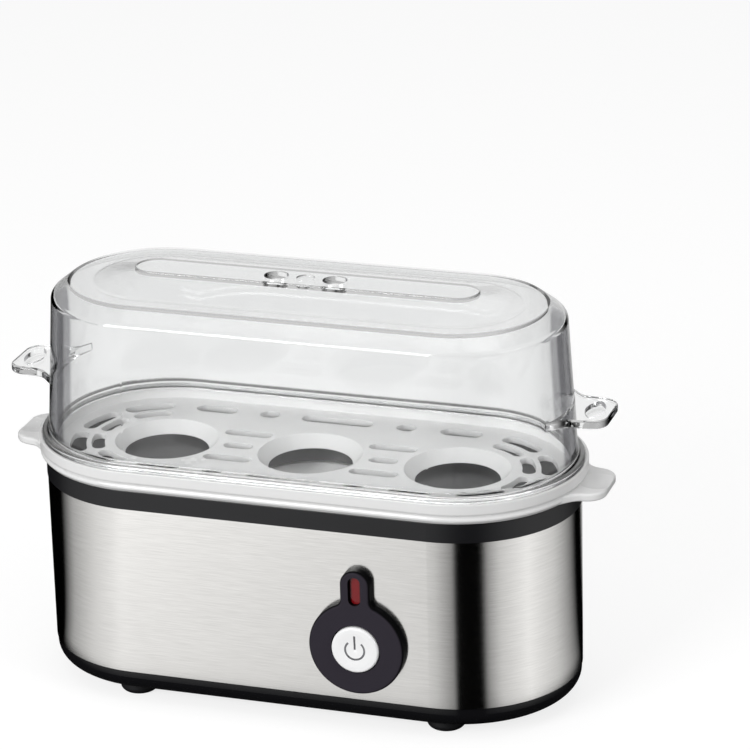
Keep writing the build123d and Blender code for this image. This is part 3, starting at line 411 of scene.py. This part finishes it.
def brushed_lines():
    """Shared group: brushed lines that run level round the body, with a tone, a gloss and a normal."""
    found = bpy.data.node_groups.get("brushed_lines")
    if found:
        return found
    group, given, out = new_group(
        "brushed_lines",
        [("Pitch", "Float"), ("Run", "Float"), ("Depth", "Float"), ("Gloss", "Float")],
        [("Tone", "Float"), ("Roughness", "Float"), ("Normal", "Vector")])
    place, join, lines, patches, bump = nodes_of(
        group, "TexCoord", "CombineXYZ", "TexNoise", "TexNoise", "Bump")
    link = group.links.new
    for socket, along, size in zip(join.inputs, axes_of(group, "Object"), ("Run", "Run", "Pitch")):
        link(math_node(group, "DIVIDE", along, given.outputs[size]), socket)
    link(join.outputs[0], lines.inputs["Vector"])
    set_inputs(lines, Scale=1.0, Detail=3.0, Roughness=0.65)
    link(place.outputs["Object"], patches.inputs["Vector"])
    set_inputs(patches, Scale=9.0, Detail=1.0)
    set_inputs(bump, Distance=0.00005)
    link(lines.outputs["Fac"], bump.inputs["Height"])
    link(given.outputs["Depth"], bump.inputs["Strength"])
    both = math_node(group, "ADD", lines.outputs["Fac"], patches.outputs["Fac"])
    rise = math_node(group, "MULTIPLY", both, BRUSH_GLOSS_SPREAD)
    least = math_node(group, "SUBTRACT", given.outputs["Gloss"], BRUSH_GLOSS_SPREAD)
    link(map_range(group, lines.outputs["Fac"], NOISE_LOW, NOISE_HIGH, 0.0, 1.0), out.inputs["Tone"])
    link(math_node(group, "ADD", least, rise), out.inputs["Roughness"])
    link(bump.outputs["Normal"], out.inputs["Normal"])
    return group


def studio_cards():
    """Shared group: the studio's light and dark cards, by the way round the cooker that a mirror looks."""
    found = bpy.data.node_groups.get("studio_cards")
    if found:
        return found
    group, given, out = new_group(
        "studio_cards", [("Across", "Float"), ("Ahead", "Float")], [("Tone", "Color")])
    ramp, = nodes_of(group, "ValToRGB")
    turn = math_node(group, "ARCTAN2", given.outputs["Across"], given.outputs["Ahead"])
    group.links.new(map_range(group, turn, -math.pi, math.pi, 0.0, 1.0), ramp.inputs["Fac"])
    fill_ramp(ramp, [(angle / 360 + 0.5, level) for angle, level in CARD_STOPS])
    group.links.new(ramp.outputs["Color"], out.inputs["Tone"])
    return group


def on_off_sign():
    """Shared group: mask of an open ring and an upright bar, from places measured from their middle."""
    found = bpy.data.node_groups.get("on_off_sign")
    if found:
        return found
    names = ("Across", "Up", "Ring", "Line", "Gap", "Bar middle", "Bar half")
    group, given, out = new_group("on_off_sign", [(name, "Float") for name in names], [("Mask", "Float")])
    across = math_node(group, "ABSOLUTE", given.outputs["Across"])
    up = given.outputs["Up"]
    line = given.outputs["Line"]
    square = math_node(
        group, "ADD", math_node(group, "POWER", across, 2.0), math_node(group, "POWER", up, 2.0))
    off = math_node(group, "SUBTRACT", math_node(group, "SQRT", square), given.outputs["Ring"])
    closed = math_node(group, "GREATER_THAN", math_node(group, "ARCTAN2", across, up), given.outputs["Gap"])
    ring = math_node(group, "LESS_THAN", math_node(group, "ABSOLUTE", off), line)
    along = math_node(group, "ABSOLUTE", math_node(group, "SUBTRACT", up, given.outputs["Bar middle"]))
    bar = math_node(group, "MULTIPLY", math_node(group, "LESS_THAN", across, line),
                    math_node(group, "LESS_THAN", along, given.outputs["Bar half"]))
    mask = math_node(group, "MAXIMUM", math_node(group, "MULTIPLY", ring, closed), bar)
    group.links.new(mask, out.inputs["Mask"])
    return group


def new_material(name, colour, **values):
    """A material with one Principled node; gives it, its tree and that node."""
    material = bpy.data.materials.new(name)
    material.use_nodes = True
    tree = material.node_tree
    shader = tree.nodes["Principled BSDF"]
    set_inputs(shader, Base_Color=(*colour, 1.0), **values)
    material.diffuse_color = (*colour, 1.0)
    return material, tree, shader


def use_group(tree, group, **values):
    """The group as a node in a tree, with plain values on its sockets."""
    node = tree.nodes.new("ShaderNodeGroup")
    node.node_tree = group
    set_inputs(node, **values)
    return node


def tone_mix(tree, shader, factor, first, second):
    """Base colour between two colours by a factor that changes over the surface."""
    tree.links.new(colour_mix(tree, factor, (*first, 1.0), (*second, 1.0)), shader.inputs["Base Color"])


def shade(colour, share):
    """A colour made lighter or darker by a share."""
    return tuple(min(1.0, part * share) for part in colour)


def grained(name, colour, pitch, depth, gloss, **values):
    """A material with moulded grain; gives it, its tree, its Principled node and the grain's tone."""
    material, tree, shader = new_material(name, colour, **values)
    grain = use_group(
        tree, moulded_grain(), Pitch=pitch, Depth=depth, Gloss_low=gloss - GLOSS_SPREAD,
        Gloss_high=gloss + GLOSS_SPREAD)
    tree.links.new(grain.outputs["Roughness"], shader.inputs["Roughness"])
    tree.links.new(grain.outputs["Normal"], shader.inputs["Normal"])
    return material, tree, shader, grain.outputs["Tone"]


def moulded(name, colour, pitch, depth, gloss, tone=TONE_SPREAD, **values):
    """Plastic, rubber, paint or cast metal with moulded grain and slow changes of tone."""
    material, tree, shader, factor = grained(name, colour, pitch, depth, gloss, **values)
    tone_mix(tree, shader, factor, shade(colour, 1 - tone), shade(colour, 1 + tone))
    return material


def brushed(name, look):
    """Metal with level brushed lines that spread its mirror image up and down."""
    material, tree, shader = new_material(
        name, look.steel_light, Metallic=1.0, Anisotropic=look.steel_stretch, Anisotropic_Rotation=0.25)
    lines = use_group(
        tree, brushed_lines(), Pitch=look.brush_pitch, Run=look.brush_run, Depth=look.brush_depth,
        Gloss=look.steel_gloss)
    tangent, = nodes_of(tree, "Tangent")
    tangent.direction_type = "RADIAL"
    tangent.axis = "Z"
    tree.links.new(tangent.outputs[0], shader.inputs["Tangent"])
    tree.links.new(lines.outputs["Roughness"], shader.inputs["Roughness"])
    tree.links.new(lines.outputs["Normal"], shader.inputs["Normal"])
    tone_mix(tree, shader, lines.outputs["Tone"], look.steel_dark, look.steel_light)
    return material


def clear(name, colour, edge_shade, gloss, index):
    """Clear plastic or glass that lets light through to what it covers, with painted shade at its upright
    edges where they turn from view.
    """
    material, tree, shader = new_material(name, colour, Roughness=gloss, IOR=index, Transmission_Weight=1.0)
    mix, through, path, facing, place, apart = nodes_of(
        tree, "MixShader", "BsdfTransparent", "LightPath", "LayerWeight", "NewGeometry", "SeparateXYZ")
    link = tree.links.new
    link(place.outputs["Normal"], apart.inputs[0])
    upright = math_node(tree, "SUBTRACT", 1.0, math_node(tree, "ABSOLUTE", apart.outputs["Z"]))
    turned = math_node(tree, "MULTIPLY", facing.outputs["Facing"], upright)
    soft_shade = map_range(tree, turned, EDGE_SOFT_START, EDGE_START, 0.0, EDGE_SOFT_TONE)
    tone_mix(tree, shader, map_range(tree, turned, EDGE_START, EDGE_END, soft_shade, 1.0), colour, edge_shade)
    set_inputs(through, Color=CLEAR_SHADOW)
    trapped = math_node(tree, "GREATER_THAN", path.outputs["Glossy Depth"], TRAPPED_DEPTH)
    link(math_node(tree, "MAXIMUM", path.outputs["Is Shadow Ray"], trapped), mix.inputs[0])
    link(shader.outputs[0], mix.inputs[1])
    link(through.outputs[0], mix.inputs[2])
    link(mix.outputs[0], tree.nodes["Material Output"].inputs["Surface"])
    return material


def panel_charcoal(look):
    """Charcoal plastic with a satin face; its side wall gets a near-black painted shade, chosen by which way
    the surface faces.
    """
    material, tree, shader, _ = grained(
        "panel_charcoal", look.panel, look.grain_pitch, depth=0.1, gloss=0.42, Specular_IOR_Level=0.03)
    lean = axes_of(tree, "Normal")[1]
    # Painted shade: the side wall turns near-black by how far the surface leans from facing forward
    face = map_range(tree, lean, FACE_LEAN, SIDE_LEAN, 1.0, 0.0)
    tone_mix(tree, shader, face, look.panel_side_shade, look.panel)
    return material


def window_red(look):
    """Red window with painted shade that darkens it towards its two long edges, as its recess would."""
    material, tree, shader, _ = grained(
        "window_red", look.red, look.grain_pitch * COARSE_GRAIN, depth=0.05, gloss=0.16,
        Transmission_Weight=0.25, Specular_IOR_Level=0.35)
    low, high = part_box("indicator_lens")
    half = (high.x - low.x) / 2
    off = math_node(tree, "SUBTRACT", axes_of(tree, "Object")[0], (low.x + high.x) / 2)
    across = math_node(tree, "ABSOLUTE", off)
    edge_shade = map_range(tree, across, half * RED_SHARE, half * RED_END_SHARE, 0.0, 1.0)
    tone_mix(tree, shader, edge_shade, look.red, look.red_edge_shade)
    return material


def button_silver(look, size):
    """Silver-white plastic with painted shade in the grooves of the on-off sign in the middle of the button.
    """
    material, tree, shader, _ = grained(
        "button_silver", look.silver, look.grain_pitch * MEDIUM_GRAIN, depth=0.02, gloss=0.26)
    low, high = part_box("button_cap")
    middle = (low + high) / 2
    sign = use_group(
        tree, on_off_sign(), Ring=size.ring, Line=size.line, Gap=size.gap, Bar_middle=size.bar_middle,
        Bar_half=size.bar_half)
    across, _, up = axes_of(tree, "Object")
    tree.links.new(math_node(tree, "SUBTRACT", across, middle.x), sign.inputs["Across"])
    tree.links.new(math_node(tree, "SUBTRACT", up, middle.z), sign.inputs["Up"])
    tone_mix(tree, shader, sign.outputs["Mask"], look.silver, look.sign)
    return material


def paint(material, *names):
    """Gives CAD nodes a material."""
    for name in names:
        slots = nodes[name].data.materials
        slots.clear()
        slots.append(material)


def paint_table(finishes, pitch):
    """Makes the finishes of a table and gives them to their nodes."""
    for name, finish in finishes.items():
        material = moulded(
            name, finish.colour, pitch * finish.coarse, finish.depth, finish.gloss, finish.tone,
            Metallic=finish.metallic)
        paint(material, *finish.nodes)


class COOKER_OT_steel(bpy.types.Operator):
    """Brushed steel for the sleeve round the base."""

    bl_idname = "cooker.steel"
    bl_label = "Steel sleeve"

    def execute(self, context):
        paint(brushed("steel_brushed", context.scene.cooker_finish), "steel_sleeve")
        return {"FINISHED"}


class COOKER_OT_housing(bpy.types.Operator):
    """Satin charcoal for the upper housing, the gland and the switch."""

    bl_idname = "cooker.housing"
    bl_label = "Upper housing"

    def execute(self, context):
        look = context.scene.cooker_finish
        satin = moulded(
            "charcoal_satin", look.charcoal, look.grain_pitch, depth=0.12, gloss=0.36,
            Specular_IOR_Level=0.35)
        paint(satin, "upper_housing", "cord_gland", "gland_nut", "switch_body")
        return {"FINISHED"}


class COOKER_OT_underside(bpy.types.Operator):
    """Polished black for the bottom cover, rubber for the feet and plated steel for the screws."""

    bl_idname = "cooker.underside"
    bl_label = "Underside"

    def execute(self, context):
        look = context.scene.cooker_finish
        polished = moulded(
            "black_polished", look.black, look.grain_pitch * COARSE_GRAIN, depth=0.02, gloss=0.12,
            Specular_IOR_Level=0.36)
        rubber = moulded("rubber_black", look.charcoal, look.grain_pitch, depth=0.3, gloss=0.55)
        paint(polished, "bottom_cover")
        paint(rubber, "foot_front_left", "foot_front_right", "foot_rear_left", "foot_rear_right")
        paint_table(FASTENER_FINISHES, look.grain_pitch)
        return {"FINISHED"}


class COOKER_OT_rack(bpy.types.Operator):
    """Glossy white for the egg rack."""

    bl_idname = "cooker.rack"
    bl_label = "Egg rack"

    def execute(self, context):
        look = context.scene.cooker_finish
        white = moulded(
            "rack_white", look.white, look.grain_pitch * MEDIUM_GRAIN, depth=0.015, gloss=0.24, tone=0.015,
            Subsurface_Weight=0.12, Subsurface_Radius=(0.002, 0.002, 0.002), Subsurface_Scale=1.0)
        paint(white, "egg_rack")
        return {"FINISHED"}


class COOKER_OT_lid(bpy.types.Operator):
    """Clear moulded plastic for the lid."""

    bl_idname = "cooker.lid"
    bl_label = "Lid"

    def execute(self, context):
        look = context.scene.cooker_finish
        paint(clear("lid_clear", look.lid, look.lid_edge_shade, gloss=0.03, index=1.49), "lid")
        return {"FINISHED"}


class COOKER_OT_panel(bpy.types.Operator):
    """Charcoal for the control panel and a red window."""

    bl_idname = "cooker.panel"
    bl_label = "Control panel"

    def execute(self, context):
        look = context.scene.cooker_finish
        paint(panel_charcoal(look), "control_panel")
        paint(window_red(look), "indicator_lens")
        return {"FINISHED"}


class COOKER_OT_button(bpy.types.Operator):
    """Silver-white push button with painted shade in the grooves of its on-off sign."""

    bl_idname = "cooker.button"
    bl_label = "Push button"

    def execute(self, context):
        paint(button_silver(context.scene.cooker_finish, context.scene.cooker_sign), "button_cap")
        return {"FINISHED"}


def coil_mesh(name, start, drop, radius, size):
    """Mesh of a round wire that winds from a point towards -Y."""
    count = size.turns * size.steps
    coil = bpy.data.curves.new(name, "CURVE")
    coil.dimensions = "3D"
    coil.bevel_depth = size.wire
    coil.use_fill_caps = True
    line = coil.splines.new("POLY")
    line.points.add(count)
    for number, point in enumerate(line.points):
        angle = math.tau * number / size.steps
        sweep = Vector((radius * math.cos(angle), -drop * number / count, radius * math.sin(angle)))
        point.co = (*(start + sweep), 1.0)
    holder = bpy.data.objects.new("spring_line", coil)
    mesh = bpy.data.meshes.new_from_object(holder)
    bpy.data.objects.remove(holder)
    for face in mesh.polygons:
        face.use_smooth = True
    return mesh


class COOKER_OT_spring(bpy.types.Operator):
    """Bright coil behind the button, in the imported spring's place."""

    bl_idname = "cooker.spring"
    bl_label = "Return spring"

    def execute(self, context):
        look = context.scene.cooker_finish
        size = context.scene.cooker_spring
        low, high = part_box("return_spring")
        middle = (low + high) / 2
        radius = (high.x - low.x) / 2 - size.wire
        start = Vector((middle.x, high.y - size.wire, middle.z))
        mesh = coil_mesh("spring_coil", start, high.y - low.y - size.wire * 2, radius, size)
        mesh.materials.clear()
        mesh.materials.append(
            moulded("spring_wire", look.spring, look.grain_pitch, depth=0.05, gloss=0.2, Metallic=1.0))
        spring = bpy.data.objects.new("spring_coil", mesh)
        context.scene.collection.objects.link(spring)
        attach(spring, "base")
        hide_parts("return_spring")
        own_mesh(spring)
        return {"FINISHED"}


class COOKER_OT_heater(bpy.types.Operator):
    """Grained metal for the heating plate, and finishes for the seal, the element and their neighbours."""

    bl_idname = "cooker.heater"
    bl_label = "Heating plate"

    def execute(self, context):
        paint_table(HEATER_FINISHES, context.scene.cooker_finish.grain_pitch)
        return {"FINISHED"}


class COOKER_OT_works(bpy.types.Operator):
    """Finishes for the control board, the wiring and the rest inside the base."""

    bl_idname = "cooker.works"
    bl_label = "Inner works"

    def execute(self, context):
        paint_table(WORKS_FINISHES, context.scene.cooker_finish.grain_pitch)
        # The lamp glass gets painted shade at its upright edges too
        glass = clear("lamp_glass", colour=(0.97, 0.9, 0.84), edge_shade=(0.6, 0.5, 0.45), gloss=0.02, index=1.5)
        paint(glass, "neon_lamp")
        return {"FINISHED"}


def ray_masks(tree):
    """Two masks: rays that are seen, straight or bent or mirrored, and of these the mirrored ones."""
    path, = nodes_of(tree, "LightPath")
    bent = path.outputs["Is Transmission Ray"]
    first = math_node(tree, "ADD", path.outputs["Is Camera Ray"], path.outputs["Is Glossy Ray"])
    direct = math_node(tree, "LESS_THAN", path.outputs["Diffuse Depth"], DIRECT_DEPTH)
    seen = math_node(tree, "MULTIPLY", math_node(tree, "ADD", first, bent, clamp=True), direct)
    return seen, math_node(tree, "SUBTRACT", path.outputs["Is Glossy Ray"], bent, clamp=True)


def floor_cards(tree, stage):
    """Tone of the floor that mirrors see: the studio's cards, laid out round the base."""
    place, apart, cards, tone = nodes_of(tree, "NewGeometry", "SeparateXYZ", "Group", "VectorMath")
    link = tree.links.new
    link(place.outputs["Position"], apart.inputs[0])
    x = apart.outputs["X"]
    y = apart.outputs["Y"]
    low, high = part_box("steel_sleeve")
    middle = (low + high) / 2
    radius = (high.y - low.y) / 2
    core = (high.x - low.x) / 2 - radius
    apex = core + radius * CARD_APEX_SHARE
    blend = radius * CARD_BLEND_SHARE
    slant = -stage.eye[0] / (middle.y - stage.eye[1])
    ahead = math_node(tree, "SUBTRACT", middle.y - radius * CARD_BACK_SHARE, y)
    front = math_node(tree, "MULTIPLY", math_node(tree, "MAXIMUM", ahead, 0.0), slant)
    left = math_node(tree, "SMOOTH_MIN", math_node(tree, "ADD", x, apex), front, blend)
    right = math_node(tree, "SUBTRACT", x, apex)
    cards.node_tree = studio_cards()
    link(math_node(tree, "SMOOTH_MAX", right, left, blend), cards.inputs["Across"])
    link(ahead, cards.inputs["Ahead"])
    fade = math_node(
        tree, "MAXIMUM", map_range(tree, x, FLOOR_LEFT_SHARE * apex, 0.0, FLOOR_LEFT, FLOOR_MIDDLE),
        map_range(tree, x, apex, apex + radius, 0.0, FLOOR_RIGHT))
    beyond = math_node(tree, "SUBTRACT", math_node(tree, "ABSOLUTE", x), core)
    past_end = math_node(tree, "POWER", math_node(tree, "MAXIMUM", beyond, 0.0), 2.0)
    past_side = math_node(tree, "POWER", math_node(tree, "SUBTRACT", y, middle.y), 2.0)
    away = math_node(tree, "SQRT", math_node(tree, "ADD", past_end, past_side))
    near = map_range(
        tree, away, radius + low.z * RING_START_SHARE, radius + low.z * RING_END_SHARE, FLOOR_CLOSE, fade)
    tone.operation = "SCALE"
    link(cards.outputs["Tone"], tone.inputs[0])
    link(near, tone.inputs["Scale"])
    return tone.outputs[0]


def floor_pale(stage):
    """Pale floor that shows white and keeps the cooker's shadow; mirrors see the studio's cards in it."""
    material = bpy.data.materials.new("floor_pale")
    material.use_nodes = True
    tree = material.node_tree
    tree.nodes.remove(tree.nodes["Principled BSDF"])
    matt, glow, both = nodes_of(tree, "BsdfDiffuse", "Emission", "AddShader")
    link = tree.links.new
    tone = floor_cards(tree, stage)
    seen, mirrored = ray_masks(tree)
    link(colour_mix(tree, mirrored, FLOOR_MATT, tone, "MULTIPLY"), matt.inputs["Color"])
    link(colour_mix(tree, mirrored, FLOOR_WHITE, tone), glow.inputs["Color"])
    link(math_node(tree, "MULTIPLY", seen, stage.floor_glow), glow.inputs["Strength"])
    link(matt.outputs[0], both.inputs[0])
    link(glow.outputs[0], both.inputs[1])
    link(both.outputs[0], tree.nodes["Material Output"].inputs["Surface"])
    return material


def make_floor(stage):
    """Level floor that the cooker stands on."""
    reach = stage.floor_reach
    mesh = bpy.data.meshes.new("floor")
    corners = [(-reach, -reach, 0), (reach, -reach, 0), (reach, reach, 0), (-reach, reach, 0)]
    mesh.from_pydata(corners, [], [(0, 1, 2, 3)])
    mesh.materials.append(floor_pale(stage))
    floor = bpy.data.objects.new("floor", mesh)
    bpy.context.scene.collection.objects.link(floor)


def make_world(stage):
    """White for the camera, the studio's cards for mirrors, and an even level for matt surfaces."""
    world = bpy.data.worlds.new("studio")
    bpy.context.scene.world = world
    world.use_nodes = True
    tree = world.node_tree
    back = tree.nodes["Background"]
    cards, sky = nodes_of(tree, "Group", "ValToRGB")
    link = tree.links.new
    x, y, z = axes_of(tree, "Generated")
    cards.node_tree = studio_cards()
    link(x, cards.inputs["Across"])
    link(math_node(tree, "MULTIPLY", y, -1.0), cards.inputs["Ahead"])
    fill_ramp(sky, SKY_STOPS)
    link(z, sky.inputs["Fac"])
    seen, mirrored = ray_masks(tree)
    tone = colour_mix(tree, mirrored, sky.outputs["Color"], cards.outputs["Tone"], "MULTIPLY")
    link(tone, back.inputs["Color"])
    link(map_range(tree, seen, 0.0, 1.0, stage.ambient, 1.0), back.inputs["Strength"])


def add_lamp(name, box, power):
    """A square softbox that faces a point."""
    lamp = bpy.data.lights.new(name, "AREA")
    lamp.shape = "SQUARE"
    lamp.size = box.side
    lamp.energy = power
    holder = bpy.data.objects.new(name, lamp)
    holder.location = box.place
    holder.rotation_euler = (Vector(box.aim) - Vector(box.place)).to_track_quat("-Z", "Y").to_euler()
    holder.visible_glossy = box.mirrored
    bpy.context.scene.collection.objects.link(holder)


def add_camera(stage):
    """The camera of the photograph."""
    eye = Vector(stage.eye)
    ahead = (Vector(stage.aim) - eye).normalized()
    right = ahead.cross(Vector((0, 0, 1))).normalized()
    right = Matrix.Rotation(stage.roll, 3, ahead) @ right
    turn = Matrix((right, right.cross(ahead), -ahead)).transposed()
    camera = bpy.data.cameras.new("camera")
    camera.lens = stage.lens
    camera.sensor_width = SENSOR_WIDTH
    camera.clip_start = CLIP_START
    holder = bpy.data.objects.new("camera", camera)
    holder.matrix_world = Matrix.Translation(eye) @ turn.to_4x4()
    bpy.context.scene.collection.objects.link(holder)
    bpy.context.scene.camera = holder


class COOKER_OT_stage(bpy.types.Operator):
    """Floor, room light, lamps and camera."""

    bl_idname = "cooker.stage"
    bl_label = "Stage"

    def execute(self, context):
        stage = context.scene.cooker_stage
        context.scene.view_settings.view_transform = "Standard"
        make_floor(stage)
        make_world(stage)
        for name, box in SOFTBOXES.items():
            add_lamp("lamp_" + name, box, getattr(stage, name + "_power"))
        add_camera(stage)
        return {"FINISHED"}


class COOKER_PT_panel(bpy.types.Panel):
    """Buttons and settings of the egg cooker's looks."""

    bl_idname = "COOKER_PT_panel"
    bl_label = "Egg cooker"
    bl_space_type = "VIEW_3D"
    bl_region_type = "UI"
    bl_category = "Egg cooker"

    def draw(self, context):
        for operator in OPERATORS:
            self.layout.operator(operator.bl_idname)
        for name in SETTINGS:
            group = getattr(context.scene, name)
            for title in group.__annotations__:
                self.layout.prop(group, title)


SETTINGS = {
    "cooker_finish": CookerFinish, "cooker_sign": CookerSign, "cooker_spring": CookerSpring,
    "cooker_stage": CookerStage,
}
OPERATORS = (
    COOKER_OT_steel, COOKER_OT_housing, COOKER_OT_underside, COOKER_OT_rack, COOKER_OT_lid, COOKER_OT_panel,
    COOKER_OT_button, COOKER_OT_spring, COOKER_OT_heater, COOKER_OT_works, COOKER_OT_stage,
)
CLASSES = (*SETTINGS.values(), *OPERATORS, COOKER_PT_panel)


def register():
    """Adds the classes, and the settings to every scene."""
    for one in CLASSES:
        bpy.utils.register_class(one)
    for name, group in SETTINGS.items():
        setattr(bpy.types.Scene, name, PointerProperty(type=group))


def unregister():
    """Takes the settings and the classes away again."""
    for name in SETTINGS:
        delattr(bpy.types.Scene, name)
    for one in reversed(CLASSES):
        bpy.utils.unregister_class(one)


def main():
    """Registers the classes and runs every operator."""
    register()
    for operator in OPERATORS:
        family, name = operator.bl_idname.split(".")
        getattr(getattr(bpy.ops, family), name)()


if __name__ == "__main__":
    main()
